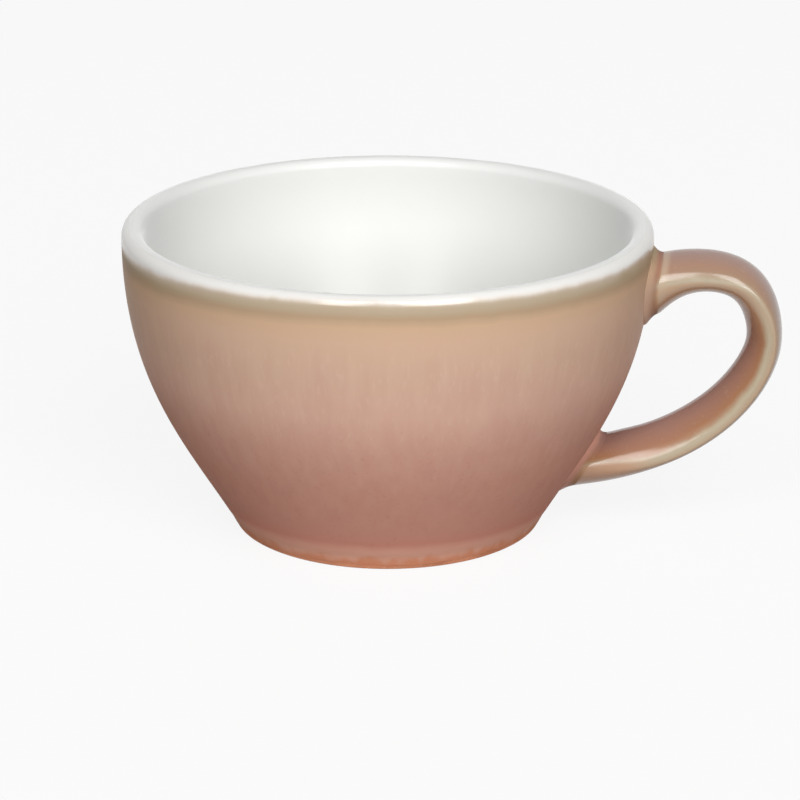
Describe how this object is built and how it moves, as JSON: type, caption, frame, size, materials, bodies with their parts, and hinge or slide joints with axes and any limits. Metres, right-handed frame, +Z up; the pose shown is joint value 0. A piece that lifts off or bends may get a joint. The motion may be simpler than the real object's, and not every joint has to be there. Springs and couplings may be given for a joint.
{
  "type": "latte cup",
  "caption": "Low, wide stoneware latte cup on a short foot, with a loop handle, a white liner glaze and a reactive outer glaze that runs from khaki at the lip to dusty rose.",
  "frame": {"origin": "on the table plane, under the middle of the cup's overall length with its handle; the bowl's axis stands at x = -12.85 mm", "axes": "+Z up, +X along the cup's length from the bowl towards the handle, +Y across it; the XZ plane is the plane of symmetry"},
  "size_m": [0.1316, 0.106, 0.0624],
  "materials": {
    "stoneware": "bare fired clay, matt",
    "liner_glaze": "white gloss glaze",
    "reactive_glaze": "khaki to dusty rose gloss glaze"
  },
  "bodies": {
    "root": {"bowl_body": "stoneware", "handle": "stoneware", "upper_slip_fillet": "reactive_glaze", "lower_slip_fillet": "reactive_glaze", "liner_glaze": "liner_glaze", "outer_glaze": "reactive_glaze", "handle_glaze": "reactive_glaze", "base_glaze": "reactive_glaze"}
  },
  "joints": []
}
